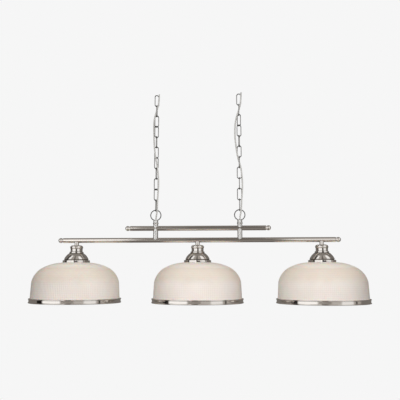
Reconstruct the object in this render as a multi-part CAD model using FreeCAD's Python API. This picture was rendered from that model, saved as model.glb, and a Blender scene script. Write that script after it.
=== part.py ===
"""Linear pendant light for a kitchen island: three prismatic glass domes under a long tube, hung on two chains.

Millimetres. The origin lies midway between the two seats where the ceiling hooks carry the top links.
+X runs along the lamp bar, +Y to the back and +Z up. Heights on the fixture are worked out from the seats down.
"""

import FreeCAD
import Part

import math
import os

from FreeCAD import Vector

UP = Vector(0, 0, 1)
ALONG = Vector(1, 0, 0)

# ---- Chains: long round-wire links, each hung on the one above -------------------------------
CHAIN_SPACING = 260.0  # between the two chains
LINKS = 11  # full links in each chain
LINK_PITCH = 33.5  # from one seat to the next
LINK_WIRE = 2.8  # wire diameter
LINK_WIDTH = 13.0  # between the centrelines of a link's two sides
LINK_PLAY = 0.25  # left between a link and the one it hangs on
# how each link stands about the vertical, in degrees from facing front; a hanging chain is never turned evenly
LEFT_TURNS = [30, 90, 162, 38, 90, 162, 38, 90, 162, 38, 90]
RIGHT_TURNS = [0, 90, 140, 20, 80, 160, 87, 0, 90, 0, 90]

# ---- Hanging loops and turned ferrules between each chain and the upper bar --------------------
LOOP_RADIUS = 16.0  # centreline of the eye ring
LOOP_WIRE = 3.0
EYE_HEIGHT = 77.1  # centre of the eye ring above the lamp bar's centreline
NECK_DIAMETER = 15.0  # the loop's boss, and the ferrule's foot
BOSS_TOP = 61.6  # above the lamp bar's centreline, like the next two
BEAD_TOP = 53.6
BEAD_BOTTOM = 49.6
BEAD_DIAMETER = 18.0
BOSS_EDGE = 2.0  # rounding of the boss's top edge

# ---- Bars and the spacers that part them ---------------------------------------------------------
BAR_DIAMETER = 15.0
BAR_WALL = 1.2
LOWER_BAR_LENGTH = 870.0  # from cap tip to cap tip
UPPER_BAR_LENGTH = 450.0
BAR_DISTANCE = 36.6  # between the centrelines of the two bars
SPACER_DIAMETER = 15.0

# ---- Ball end caps ------------------------------------------------------------------------------
CAP_LENGTH = 17.0  # from tip to the tube's end
CAP_BALL_RADIUS = 7.75
CAP_GROOVE_DEPTH = 1.7  # below the tube's surface
CAP_GROOVE_START = 11.4  # from the tip
CAP_GROOVE_END = 12.2
CAP_SPIGOT = 14.0  # how far the cap reaches into the tube
CAP_BALL_STOP = 0.5  # the ball ends this far before the groove
CAP_LIP = 0.8  # the straight edge against the tube

# ---- Hollow threaded rods, and the tapped slugs that hold them in the lamp bar --------------------
ROD_DIAMETER = 10.0
ROD_BORE = 7.0
SLUG_LENGTH = 24.0
SLUG_CHANNEL = 2.2  # from the slug's axis to the flat that the wires run over

# ---- Lamps ----------------------------------------------------------------------------------------
LAMP_INSET = 58.0  # from the lamp bar's cap tip to the outer lamps
LAMP_SPACING = LOWER_BAR_LENGTH / 2 - LAMP_INSET
STUB_DIAMETER = 13.0
STUB_LENGTH = 7.9  # seen between the bar and the gallery

GALLERY_WALL = 1.0
GALLERY_BEAD_RADIUS = 19.75
GALLERY_NECK_RADIUS = 18.4
GALLERY_BAND_RADIUS = 21.5
GALLERY_BELL_RADIUS = 37.4  # at the bell's foot
GALLERY_FLANGE_RADIUS = 41.5  # fits a shade of 83 mm across
# depths below the gallery's top
GALLERY_BEAD_DEPTH = 6.5
GALLERY_NECK_DEPTH = 10.4
GALLERY_BAND_DEPTH = 20.4
GALLERY_BELL_DEPTH = 24.4
GALLERY_STEP_DEPTH = 46.0
GALLERY_FLANGE_HEIGHT = 7.2
GALLERY_HEIGHT = GALLERY_STEP_DEPTH + GALLERY_FLANGE_HEIGHT

# ---- Glass shade: a flat crown, a round shoulder and a nearly upright wall -------------------------
GLASS_WALL = 3.2
GLASS_HOLE_PLAY = 0.8  # round the lampholder's skirt
GLASS_EDGE_RADIUS = 135.6  # at the rim
# how far inside that radius its outline turns: the flat crown's end, the shoulder, the turn and the wall's top
GLASS_CROWN_INSET = 59.6
GLASS_SHOULDER_INSET = 31.6
GLASS_TURN_INSET = 13.1
GLASS_WALL_INSET = 3.4
GLASS_CROWN_RADIUS = GLASS_EDGE_RADIUS - GLASS_CROWN_INSET
GLASS_CROWN_DROP = 5.8
GLASS_SHOULDER_RADIUS = GLASS_EDGE_RADIUS - GLASS_SHOULDER_INSET
GLASS_SHOULDER_DROP = 18.1
GLASS_TURN_RADIUS = GLASS_EDGE_RADIUS - GLASS_TURN_INSET
GLASS_TURN_DROP = 36.4
GLASS_WALL_RADIUS = GLASS_EDGE_RADIUS - GLASS_WALL_INSET
GLASS_WALL_DROP = 59.5
GLASS_HEIGHT = 121.2

# ---- Rim band round the glass's lower edge --------------------------------------------------------
RIM_STAND = 4.4  # how far its beads stand out from the glass
RIM_RADIUS = GLASS_EDGE_RADIUS + RIM_STAND
RIM_HEIGHT = 14.0
RIM_BEAD = 3.6  # height of the round bead at its top and bottom
RIM_CHANNEL = 1.6  # how far the band between the beads lies back
RIM_LIP = 1.0  # thickness of the lip under the glass
RIM_LIP_REACH = 9.5  # how far the lip reaches in from the rim's outside

# ---- Lampholders, their shade rings and the lamps ---------------------------------------------------
HOLDER_CAP_RADIUS = 15.0
HOLDER_CAP_HEIGHT = 21.0
HOLDER_RADIUS = 19.5
HOLDER_TAPER = 4.0
HOLDER_SHOULDER_RADIUS = 26.0  # presses on the glass
HOLDER_SHOULDER = 1.8
HOLDER_SKIRT = 15.5  # below the shoulder, through the glass
HOLDER_FLOOR = 4.0
SHADE_RING_RADIUS = 27.5
SHADE_RING_HEIGHT = 5.0
LAMP_CAP_RADIUS = 13.2  # E27
LAMP_CAP_LENGTH = 26.0
LAMP_BULB_RADIUS = 30.0  # A60
LAMP_LENGTH = 105.0

# ---- Flexes and wires ---------------------------------------------------------------------------------
FLEX_DIAMETER = 4.5
WIRE_DIAMETER = 1.6
WIRE_HEIGHT = 4.2  # how far a wire lies from the bar's centreline, below it at the rods and above it at the lamps

# ---- Fits -----------------------------------------------------------------------------------------------
SEAT = 0.05  # between faces that touch
RUNNING = 0.15  # round a rod or a cap's spigot
SCREWED = 0.3  # round the lamp's cap

# ---- Levels worked out from the sizes above ---------------------------------------------------------------
LINK_INSIDE = LINK_PITCH + LINK_PLAY
LOOP_SEAT_Z = -LINKS * LINK_PITCH
EYE_Z = LOOP_SEAT_Z - (LOOP_RADIUS - LOOP_WIRE / 2)
BAR_Z = EYE_Z - EYE_HEIGHT
UPPER_BAR_Z = BAR_Z + BAR_DISTANCE
BAR_RADIUS = BAR_DIAMETER / 2
BAR_BORE_RADIUS = BAR_RADIUS - BAR_WALL
GALLERY_TOP_Z = BAR_Z - BAR_RADIUS - STUB_LENGTH
GLASS_TOP_Z = GALLERY_TOP_Z - GALLERY_HEIGHT - SEAT
RIM_BOTTOM_Z = GLASS_TOP_Z - GLASS_HEIGHT - SEAT - RIM_LIP
CHAIN_PLACES = {"left": -CHAIN_SPACING / 2, "right": CHAIN_SPACING / 2}
LAMP_PLACES = {"left": -LAMP_SPACING, "middle": 0.0, "right": LAMP_SPACING}
ROD_RADIUS = ROD_DIAMETER / 2
ROD_HOLE_RADIUS = ROD_RADIUS + RUNNING

# The flexes wander round their chains and pass through a link here and there. Each point gives how far the flex
# lies from the chain's centreline, to the side and to the back, and how far below the hook's seat.
LEFT_FLEX_ROUTE = [
    (7.7, -3.5, -4),
    (7.1, -3.0, 14),
    (4.9, -2.6, 32),
    (0.0, -2.0, 50),
    (-5.5, -3.0, 66),
    (-8.2, -2.9, 84),
    (-9.0, -1.9, 102),
    (-8.6, -0.9, 120),
    (-7.9, -1.0, 140),
    (-7.0, -2.2, 158),
    (-5.4, -4.1, 176),
    (-3.1, -6.0, 192),
    (-0.2, -7.1, 208),
    (2.6, -7.0, 222),
    (5.0, -6.4, 237),
    (6.7, -6.1, 254),
    (8.1, -6.0, 272),
    (8.4, -6.0, 290),
    (7.4, -5.9, 308),
    (6.0, -5.7, 326),
    (5.3, -5.6, 344),
    (5.0, -5.2, 361),
    (3.9, -3.9, 374),
    (1.6, -1.7, 385),
]
RIGHT_FLEX_ROUTE = [
    (7.5, -7.2, -4),
    (6.8, -6.4, 14),
    (5.3, -4.9, 31),
    (1.0, -1.8, 49),
    (-5.5, -1.3, 66),
    (-10.0, -1.2, 84),
    (-12.4, -1.5, 102),
    (-13.2, -2.1, 122),
    (-12.5, -2.9, 142),
    (-10.7, -3.7, 160),
    (-8.5, -4.3, 178),
    (-6.1, -4.1, 194),
    (-2.7, -2.2, 210),
    (1.5, -2.1, 223),
    (4.8, -4.9, 236),
    (6.8, -5.8, 252),
    (8.4, -5.7, 270),
    (9.2, -5.4, 288),
    (8.6, -5.2, 306),
    (7.2, -5.4, 324),
    (6.0, -5.5, 342),
    (5.2, -5.2, 360),
    (3.9, -3.9, 374),
    (1.6, -1.7, 385),
]
FLEX_UPRIGHT = 2.5  # how far above the boss the flex stands upright
FLEX_REACH = 3.0  # how far it reaches into the boss, to meet its run inside the rod


# ---- Helpers for turned profiles and bent wires -------------------------------------------------------------
def turned(edges, axis_point=Vector(0, 0, 0), axis=UP):
    """The solid made by turning a closed outline about an axis."""
    face = Part.Face(Part.Wire(edges))
    return face.revolve(axis_point, axis, 360)


def outline(*steps):
    """Closed outline in the XZ plane. A step is one (radius, height) point, or a pair of them: via and end of an arc."""
    place = lambda point: Vector(point[0], 0, point[1])
    edges = []
    here = place(steps[0])
    for step in steps[1:] + (steps[0],):
        if isinstance(step[0], tuple):
            via, end = place(step[0]), place(step[1])
            edges.append(Part.Arc(here, via, end).toShape())
        else:
            end = place(step)
            edges.append(Part.LineSegment(here, end).toShape())
        here = end
    return edges


def inset(points, wall):
    """The points of an open outline moved inwards by the wall, square to the outline at each point."""
    moved = []
    for i, (r, z) in enumerate(points):
        before = points[max(i - 1, 0)]
        after = points[min(i + 1, len(points) - 1)]
        run = math.hypot(after[0] - before[0], after[1] - before[1])
        moved.append((r + (after[1] - before[1]) / run * wall, z - (after[0] - before[0]) / run * wall))
    return moved


def bent_tube(points, diameter, name):
    """A round tube through straight runs joined by tangent arcs as large as the runs allow."""
    edges = []
    here = points[0]
    radii = []
    for before, corner, after in zip(points, points[1:], points[2:]):
        into = (corner - before).normalize()
        out = (after - corner).normalize()
        half_turn = into.getAngle(out) / 2
        cut = 0.45 * min((corner - before).Length, (after - corner).Length)
        radius = cut / math.tan(half_turn)
        radii.append(radius)
        start, end = corner - into * cut, corner + out * cut
        inward = (out - into).normalize()
        middle = corner + inward * (math.hypot(radius, cut) - radius)
        edges.append(Part.LineSegment(here, start).toShape())
        edges.append(Part.Arc(start, middle, end).toShape())
        here = end
    edges.append(Part.LineSegment(here, points[-1]).toShape())
    path = Part.Wire(edges)
    first_run = points[1] - points[0]
    section = Part.Wire(Part.makeCircle(diameter / 2, points[0], first_run))
    tube = path.makePipeShell([section], True, False)
    share = tube.Volume / (math.pi * diameter**2 / 4 * path.Length)
    print(f"{name}: length {path.Length:.1f}, least radius {min(radii):.1f}, volume {share:.4f} of section x length")
    return tube


def bar_tube(half_length, z):
    """A tube along X with its ends cut square."""
    start = Vector(-half_length, 0, z)
    outer = Part.makeCylinder(BAR_RADIUS, 2 * half_length, start, ALONG)
    inner = Part.makeCylinder(BAR_BORE_RADIUS, 2 * half_length, start, ALONG)
    return outer.cut(inner)


def upright(radius, bottom, top, x):
    """A plain upright cylinder."""
    return Part.makeCylinder(radius, top - bottom, Vector(x, 0, bottom), UP)


def saddle(z):
    """What a piece that sits on a bar is coped with: the bar's round, with the seat's clearance."""
    return Part.makeCylinder(BAR_RADIUS + SEAT, LOWER_BAR_LENGTH, Vector(-LOWER_BAR_LENGTH / 2, 0, z), ALONG)


# ---- Chain links ------------------------------------------------------------------------------------------------
def link(x, number, turn):
    """A long link: two round crowns and two straight sides. Link 0 hangs on the hook."""
    crown = LINK_WIDTH / 2
    wire = LINK_WIRE / 2
    top = -number * LINK_PITCH
    upper = top + wire - crown  # centres of the two crowns
    lower = top - LINK_INSIDE - wire + crown
    corners = [Vector(-crown, 0, upper), Vector(crown, 0, upper), Vector(crown, 0, lower), Vector(-crown, 0, lower)]
    path = Part.Wire(
        [
            Part.Arc(corners[0], Vector(0, 0, upper + crown), corners[1]).toShape(),
            Part.LineSegment(corners[1], corners[2]).toShape(),
            Part.Arc(corners[2], Vector(0, 0, lower - crown), corners[3]).toShape(),
            Part.LineSegment(corners[3], corners[0]).toShape(),
        ]
    )
    section = Part.Wire(Part.makeCircle(wire, corners[0], UP))
    whole = path.makePipeShell([section], True, False)
    whole.rotate(Vector(0, 0, 0), UP, turn)
    whole.translate(Vector(x, 0, 0))
    return whole


# ---- Loops, ferrules, bars and spacers -----------------------------------------------------------------------------
def hanging_loop(x):
    """A cast eye ring with its round boss, tapped from below for the rod and drilled for the flex."""
    boss_radius = NECK_DIAMETER / 2
    boss_top = BAR_Z + BOSS_TOP
    boss_bottom = BAR_Z + BEAD_TOP + SEAT
    boss = upright(boss_radius, boss_bottom, boss_top, x)
    top_edge = [e for e in boss.Edges if e.BoundBox.ZMin > boss_top - SEAT]
    boss = boss.makeFillet(BOSS_EDGE, top_edge)
    ring = Part.makeTorus(LOOP_RADIUS, LOOP_WIRE / 2, Vector(x, 0, EYE_Z), Vector(0, 1, 0))
    ring = ring.cut(upright(2 * LOOP_RADIUS, BAR_Z, boss_top - BOSS_EDGE, x))
    rod_hole = upright(ROD_HOLE_RADIUS, boss_bottom, boss_top - LOOP_WIRE, x)
    flex_hole = upright(ROD_BORE / 2, boss_bottom, boss_top + LOOP_WIRE, x)
    return boss.fuse(ring).cut(rod_hole).cut(flex_hole).removeSplitter()


def ferrule(x):
    """A turned foot with a round bead on top, coped to sit on the upper bar."""
    foot_radius = NECK_DIAMETER / 2
    bead_middle = BAR_Z + (BEAD_TOP + BEAD_BOTTOM) / 2
    edges = outline(
        (ROD_HOLE_RADIUS, UPPER_BAR_Z),
        (foot_radius, UPPER_BAR_Z),
        (foot_radius, BAR_Z + BEAD_BOTTOM),
        ((BEAD_DIAMETER / 2, bead_middle), (foot_radius, BAR_Z + BEAD_TOP)),
        (ROD_HOLE_RADIUS, BAR_Z + BEAD_TOP),
    )
    turned_foot = turned(edges)
    turned_foot.translate(Vector(x, 0, 0))
    return turned_foot.cut(saddle(UPPER_BAR_Z))


def spacer(x):
    """A short tube coped at both ends, between the two bars."""
    outer = upright(SPACER_DIAMETER / 2, BAR_Z, UPPER_BAR_Z, x)
    bore = upright(ROD_HOLE_RADIUS, BAR_Z, UPPER_BAR_Z, x)
    return outer.cut([bore, saddle(BAR_Z), saddle(UPPER_BAR_Z)])


def lower_bar():
    """The lamp bar: open at the top for the two rods and at the bottom for the three lamps."""
    holes = [upright(ROD_HOLE_RADIUS, BAR_Z, BAR_Z + BAR_DIAMETER, x) for x in CHAIN_PLACES.values()]
    holes += [upright(ROD_HOLE_RADIUS, BAR_Z - BAR_DIAMETER, BAR_Z, x) for x in LAMP_PLACES.values()]
    return bar_tube(LOWER_BAR_LENGTH / 2 - CAP_LENGTH, BAR_Z).cut(holes)


def upper_bar():
    """The upper bar: the two rods pass right through it."""
    holes = [
        upright(ROD_HOLE_RADIUS, UPPER_BAR_Z - BAR_DIAMETER, UPPER_BAR_Z + BAR_DIAMETER, x)
        for x in CHAIN_PLACES.values()
    ]
    return bar_tube(UPPER_BAR_LENGTH / 2 - CAP_LENGTH, UPPER_BAR_Z).cut(holes)


def end_cap(side, length, z):
    """A turned ball cap with a groove behind the ball and a spigot in the tube."""
    groove_radius = BAR_RADIUS - CAP_GROOVE_DEPTH
    spigot_radius = BAR_BORE_RADIUS - RUNNING
    ball_end_radius = math.sqrt(CAP_BALL_RADIUS**2 - (CAP_GROOVE_START - CAP_BALL_STOP - CAP_BALL_RADIUS) ** 2)
    flare_end = CAP_LENGTH - CAP_LIP
    on_ball = CAP_BALL_RADIUS * math.sqrt(0.5)
    # turned upright with its tip at the origin, then laid along the bar
    edges = outline(
        (0, 0),
        ((on_ball, -CAP_BALL_RADIUS + on_ball), (ball_end_radius, -(CAP_GROOVE_START - CAP_BALL_STOP))),
        (groove_radius, -CAP_GROOVE_START),
        (groove_radius, -CAP_GROOVE_END),
        (
            (groove_radius + CAP_GROOVE_DEPTH * 0.3, -(CAP_GROOVE_END + flare_end) / 2),
            (BAR_RADIUS, -flare_end),
        ),
        (BAR_RADIUS, -CAP_LENGTH + SEAT),
        (spigot_radius, -CAP_LENGTH + SEAT),
        (spigot_radius, -CAP_LENGTH - CAP_SPIGOT),
        (0, -CAP_LENGTH - CAP_SPIGOT),
    )
    cap = turned(edges)
    cap.rotate(Vector(0, 0, 0), Vector(0, 1, 0), 90 * side)
    cap.translate(Vector(side * length / 2, 0, z))
    return cap


# ---- Threaded rods and slugs ------------------------------------------------------------------------------------------
def hollow_rod(x, bottom, top):
    """A hollow threaded rod."""
    return upright(ROD_RADIUS, bottom, top, x).cut(upright(ROD_BORE / 2, bottom, top, x))


def slug(x, channel_side):
    """A tapped slug in the lamp bar. channel_side is +1 where the wires run over it, and -1 where they run below."""
    start = Vector(x - SLUG_LENGTH / 2, 0, BAR_Z)
    body = Part.makeCylinder(BAR_BORE_RADIUS - RUNNING, SLUG_LENGTH, start, ALONG)
    tapped = upright(ROD_RADIUS + SEAT, BAR_Z - BAR_RADIUS, BAR_Z + BAR_RADIUS, x)
    channel_bottom = BAR_Z + SLUG_CHANNEL if channel_side > 0 else BAR_Z - SLUG_CHANNEL - BAR_RADIUS
    corner = Vector(x - SLUG_LENGTH / 2, -BAR_RADIUS, channel_bottom)
    channel = Part.makeBox(SLUG_LENGTH, BAR_DIAMETER, BAR_RADIUS, corner)
    return body.cut([tapped, channel])


def chain_rods():
    """The two rods from the slugs up to the loops."""
    bottom = BAR_Z - SLUG_CHANNEL
    top = BAR_Z + BOSS_TOP - LOOP_WIRE - SEAT
    return Part.Compound([hollow_rod(x, bottom, top) for x in CHAIN_PLACES.values()])


def lamp_nipples():
    """The three short rods from the slugs down into the lampholders."""
    bottom = HOLDER_TOP_Z - HOLDER_FLOOR
    top = BAR_Z + SLUG_CHANNEL
    return Part.Compound([hollow_rod(x, bottom, top) for x in LAMP_PLACES.values()])


def slugs():
    """The five slugs: two for the rods and three for the lamps."""
    for_rods = [slug(x, -1) for x in CHAIN_PLACES.values()]
    for_lamps = [slug(x, 1) for x in LAMP_PLACES.values()]
    return Part.Compound(for_rods + for_lamps)


# ---- Lamps -------------------------------------------------------------------------------------------------------------
HOLDER_TOP_Z = GALLERY_TOP_Z - GALLERY_WALL - SEAT
HOLDER_SEAT_Z = GLASS_TOP_Z + SEAT  # the underside of the holder's shoulder
HOLDER_BOTTOM_Z = HOLDER_SEAT_Z - HOLDER_SKIRT
LAMP_CAP_TOP_Z = HOLDER_BOTTOM_Z + LAMP_CAP_LENGTH


def stub(x):
    """The short sleeve between the bar and the gallery, coped to the bar."""
    outer = upright(STUB_DIAMETER / 2, GALLERY_TOP_Z + SEAT, BAR_Z, x)
    bore = upright(ROD_HOLE_RADIUS, GALLERY_TOP_Z, BAR_Z, x)
    return outer.cut([bore, saddle(BAR_Z)])


def gallery(x):
    """A spun cup: a round bead, a neck, a raised band, a bell and a stepped flange."""
    top = GALLERY_TOP_Z
    wall = GALLERY_WALL
    crown = GALLERY_BEAD_RADIUS * 0.62
    bead = GALLERY_BEAD_RADIUS
    neck = GALLERY_NECK_RADIUS
    band = GALLERY_BAND_RADIUS
    bell = GALLERY_BELL_RADIUS
    flange = GALLERY_FLANGE_RADIUS
    bead_z = top - GALLERY_BEAD_DEPTH
    neck_z = top - GALLERY_NECK_DEPTH
    band_z = top - GALLERY_BAND_DEPTH
    bell_z = top - GALLERY_BELL_DEPTH
    step_z = top - GALLERY_STEP_DEPTH
    foot_z = top - GALLERY_HEIGHT
    step = (flange - bell) / 2
    bell_via = (bell - (bell - band) * 0.33, bell_z - (bell_z - step_z) * 0.43)
    edges = outline(
        (ROD_HOLE_RADIUS, top),
        (crown, top),
        ((bead - (bead - crown) * 0.22, top - GALLERY_BEAD_DEPTH * 0.35), (bead, bead_z)),
        ((bead - (bead - neck) * 0.2, (bead_z + neck_z) / 2), (neck, neck_z)),
        (neck, band_z + wall),
        (band, band_z),
        (band, bell_z),
        (band + wall / 2, bell_z),
        (bell_via, (bell, step_z + wall)),
        (bell + wall / 2, step_z),
        (bell + step, step_z),
        ((flange - step * 0.3, step_z - step * 0.3), (flange, step_z - step)),
        (flange, foot_z),
        (flange - wall, foot_z),
        (flange - wall, step_z - step),
        (bell - wall, step_z - step),
        (bell - wall, step_z + wall),
        ((bell_via[0] - wall, bell_via[1] - wall), (band - wall, bell_z - wall)),
        (band - wall, bell_z),
        (neck - wall, band_z),
        (neck - wall, top - wall * 3),
        (neck - wall * 3, top - wall),
        (ROD_HOLE_RADIUS, top - wall),
    )
    cup = turned(edges)
    cup.translate(Vector(x, 0, 0))
    return cup


def glass_shade(x):
    """A pressed glass dome of even wall, with a hole in its crown for the lampholder."""
    top = GLASS_TOP_Z
    wall = GLASS_WALL
    hole = HOLDER_RADIUS + GLASS_HOLE_PLAY
    crown_start = (GALLERY_FLANGE_RADIUS, top)
    outside = [
        crown_start,
        (GLASS_CROWN_RADIUS, top - GLASS_CROWN_DROP),
        (GLASS_SHOULDER_RADIUS, top - GLASS_SHOULDER_DROP),
        (GLASS_TURN_RADIUS, top - GLASS_TURN_DROP),
        (GLASS_WALL_RADIUS, top - GLASS_WALL_DROP),
    ]
    inside = inset(outside, wall)
    inside[0] = (crown_start[0], top - wall)
    foot = top - GLASS_HEIGHT
    edges = outline(
        (hole, top),
        outside[0],
        (outside[1], outside[2]),
        (outside[3], outside[4]),
        (GLASS_EDGE_RADIUS, foot),
        (GLASS_EDGE_RADIUS - wall, foot),
        inside[4],
        (inside[3], inside[2]),
        (inside[1], inside[0]),
        (hole, top - wall),
    )
    shade = turned(edges)
    shade.translate(Vector(x, 0, 0))
    return shade


def rim_band(x):
    """A rolled band round the glass's edge: a bead at its top and bottom, a flat between them and a lip below."""
    bottom = RIM_BOTTOM_Z
    top = bottom + RIM_HEIGHT
    inner = GLASS_EDGE_RADIUS + SEAT * 4
    flat = RIM_RADIUS - RIM_CHANNEL
    lip = RIM_RADIUS - RIM_LIP_REACH
    edges = outline(
        (inner, top),
        (flat, top),
        ((RIM_RADIUS, top - RIM_BEAD / 2), (flat, top - RIM_BEAD)),
        (flat, bottom + RIM_BEAD),
        ((RIM_RADIUS, bottom + RIM_BEAD / 2), (flat, bottom)),
        (lip, bottom),
        (lip, bottom + RIM_LIP),
        (inner, bottom + RIM_LIP),
    )
    band = turned(edges)
    band.translate(Vector(x, 0, 0))
    return band


def lampholder(x):
    """A lampholder: a narrow cap on the nipple, a wider body, a shoulder on the glass and a threaded skirt."""
    top = HOLDER_TOP_Z
    cap_foot = top - HOLDER_CAP_HEIGHT
    body_top = cap_foot - HOLDER_TAPER
    seat = HOLDER_SEAT_Z
    socket = LAMP_CAP_RADIUS + SCREWED
    edges = outline(
        (ROD_RADIUS + SEAT, top),
        (HOLDER_CAP_RADIUS, top),
        (HOLDER_CAP_RADIUS, cap_foot),
        (HOLDER_RADIUS, body_top),
        (HOLDER_RADIUS, seat + HOLDER_SHOULDER),
        (HOLDER_SHOULDER_RADIUS, seat + HOLDER_SHOULDER),
        (HOLDER_SHOULDER_RADIUS, seat),
        (HOLDER_RADIUS, seat),
        (HOLDER_RADIUS, HOLDER_BOTTOM_Z),
        (socket, HOLDER_BOTTOM_Z),
        (socket, LAMP_CAP_TOP_Z + SCREWED),
        (ROD_BORE / 2, LAMP_CAP_TOP_Z + SCREWED),
        (ROD_BORE / 2, top - HOLDER_FLOOR - SEAT),
        (ROD_RADIUS + SEAT, top - HOLDER_FLOOR - SEAT),
    )
    holder = turned(edges)
    holder.translate(Vector(x, 0, 0))
    return holder


def shade_rings():
    """The three ring nuts that hold the glass up against the lampholders' shoulders."""
    top = GLASS_TOP_Z - GLASS_WALL - SEAT
    rings = []
    for x in LAMP_PLACES.values():
        outer = upright(SHADE_RING_RADIUS, top - SHADE_RING_HEIGHT, top, x)
        bore = upright(HOLDER_RADIUS + SEAT, top - SHADE_RING_HEIGHT, top, x)
        rings.append(outer.cut(bore))
    return Part.Compound(rings)


def bulb(x):
    """A round lamp with a screw cap, a tapering neck and a globe."""
    cap_top = LAMP_CAP_TOP_Z
    cap_foot = HOLDER_BOTTOM_Z
    tip = cap_top - LAMP_LENGTH
    centre = tip + LAMP_BULB_RADIUS
    contact = LAMP_CAP_RADIUS * 0.35
    neck_angle = math.radians(40)
    neck_end = (LAMP_BULB_RADIUS * math.cos(neck_angle), centre + LAMP_BULB_RADIUS * math.sin(neck_angle))
    edges = outline(
        (0, cap_top),
        (contact, cap_top),
        (LAMP_CAP_RADIUS, cap_top - contact),
        (LAMP_CAP_RADIUS, cap_foot),
        neck_end,
        ((LAMP_BULB_RADIUS, centre), (LAMP_BULB_RADIUS * math.sqrt(0.5), centre - LAMP_BULB_RADIUS * math.sqrt(0.5))),
        (
            (LAMP_BULB_RADIUS * math.sin(math.pi / 8), centre - LAMP_BULB_RADIUS * math.cos(math.pi / 8)),
            (0, tip),
        ),
    )
    lamp = turned(edges)
    lamp.translate(Vector(x, 0, 0))
    return lamp


# ---- Flexes and wires --------------------------------------------------------------------------------------------------
def flex(x, route, name):
    """The flex along a chain, from its cut end at the hook down into the loop's boss."""
    boss_top = BAR_Z + BOSS_TOP
    points = [Vector(x + side, back, -depth) for side, back, depth in route]
    points.append(Vector(x, 0, boss_top + FLEX_UPRIGHT))
    points.append(Vector(x, 0, boss_top - FLEX_REACH))
    return bent_tube(points, FLEX_DIAMETER, name)


def wire_run(rod_x, lamp_x):
    """A wire from under a rod, along the bar and down a lamp's nipple."""
    way = math.copysign(1, lamp_x - rod_x)
    low, high = BAR_Z - WIRE_HEIGHT, BAR_Z + WIRE_HEIGHT
    clear = SLUG_LENGTH / 2 + WIRE_DIAMETER
    start = rod_x + way * WIRE_DIAMETER
    points = [
        Vector(start, 0, low),
        Vector(rod_x + way * clear, 0, low),
        Vector(lamp_x - way * clear, 0, high),
        Vector(lamp_x, 0, high),
        Vector(lamp_x, 0, HOLDER_TOP_Z - HOLDER_FLOOR),
    ]
    return bent_tube(points, WIRE_DIAMETER, "wire")


def inner_wires():
    """The flexes inside the rods, and the wires from them to the lamps."""
    left, right = CHAIN_PLACES["left"], CHAIN_PLACES["right"]
    bottom = BAR_Z - SLUG_CHANNEL
    top = BAR_Z + BOSS_TOP - FLEX_REACH
    inside = [upright(FLEX_DIAMETER / 2, bottom, top, x) for x in (left, right)]
    runs = [
        wire_run(left, LAMP_PLACES["left"]),
        wire_run(left, LAMP_PLACES["middle"]),
        wire_run(right, LAMP_PLACES["right"]),
    ]
    return Part.Compound(inside + runs)


# ---- Every piece by name ---------------------------------------------------------------------------------------------------
def pieces():
    for side, turns in (("left", LEFT_TURNS), ("right", RIGHT_TURNS)):
        for number, turn in enumerate(turns):
            yield f"{side}_chain_link_{number + 1:02d}", link(CHAIN_PLACES[side], number, turn)
    for side, x in CHAIN_PLACES.items():
        yield f"{side}_hanging_loop", hanging_loop(x)
        yield f"{side}_ferrule", ferrule(x)
        yield f"{side}_spacer", spacer(x)
    yield "lower_bar", lower_bar()
    yield "upper_bar", upper_bar()
    for side, sign in (("left", -1), ("right", 1)):
        yield f"lower_bar_cap_{side}", end_cap(sign, LOWER_BAR_LENGTH, BAR_Z)
        yield f"upper_bar_cap_{side}", end_cap(sign, UPPER_BAR_LENGTH, UPPER_BAR_Z)
    yield "chain_rods", chain_rods()
    yield "lamp_nipples", lamp_nipples()
    yield "bar_slugs", slugs()
    for side, x in LAMP_PLACES.items():
        yield f"{side}_stub", stub(x)
        yield f"{side}_gallery", gallery(x)
        yield f"{side}_lampholder", lampholder(x)
        yield f"{side}_glass_shade", glass_shade(x)
        yield f"{side}_rim_band", rim_band(x)
        yield f"{side}_bulb", bulb(x)
    yield "shade_rings", shade_rings()
    yield "left_flex", flex(CHAIN_PLACES["left"], LEFT_FLEX_ROUTE, "left flex")
    yield "right_flex", flex(CHAIN_PLACES["right"], RIGHT_FLEX_ROUTE, "right flex")
    yield "inner_wires", inner_wires()


os.makedirs("parts", exist_ok=True)
for node, shape in pieces():
    if not shape.isValid() or not shape.Solids:
        print(f"{node}: not a valid solid")
    shape.exportStep(f"parts/{node}.step")
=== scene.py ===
"""Linear pendant light for a kitchen island: three ribbed glass domes under a long nickel bar, hung on two chains.

Metres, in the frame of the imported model. +X runs along the lamp bar, +Y to the back and +Z up.
"""

import math

import bmesh
import bpy
from mathutils import Matrix, Vector


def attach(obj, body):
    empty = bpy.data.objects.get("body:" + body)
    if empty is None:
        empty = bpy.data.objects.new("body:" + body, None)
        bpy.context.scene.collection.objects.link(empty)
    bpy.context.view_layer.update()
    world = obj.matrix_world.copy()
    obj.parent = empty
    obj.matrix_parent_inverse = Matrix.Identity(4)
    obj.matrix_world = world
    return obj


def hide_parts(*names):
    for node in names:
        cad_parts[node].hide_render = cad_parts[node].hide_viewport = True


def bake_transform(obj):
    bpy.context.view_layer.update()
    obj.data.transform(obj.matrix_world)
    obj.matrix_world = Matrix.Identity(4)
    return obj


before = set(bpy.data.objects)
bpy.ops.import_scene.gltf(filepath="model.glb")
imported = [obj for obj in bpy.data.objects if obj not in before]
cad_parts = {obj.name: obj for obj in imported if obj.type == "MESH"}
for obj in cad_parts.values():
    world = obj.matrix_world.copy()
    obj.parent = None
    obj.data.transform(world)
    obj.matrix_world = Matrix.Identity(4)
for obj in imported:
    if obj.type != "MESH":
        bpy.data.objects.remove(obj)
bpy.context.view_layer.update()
scene = bpy.context.scene
scene.view_settings.view_transform = "Standard"

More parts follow.
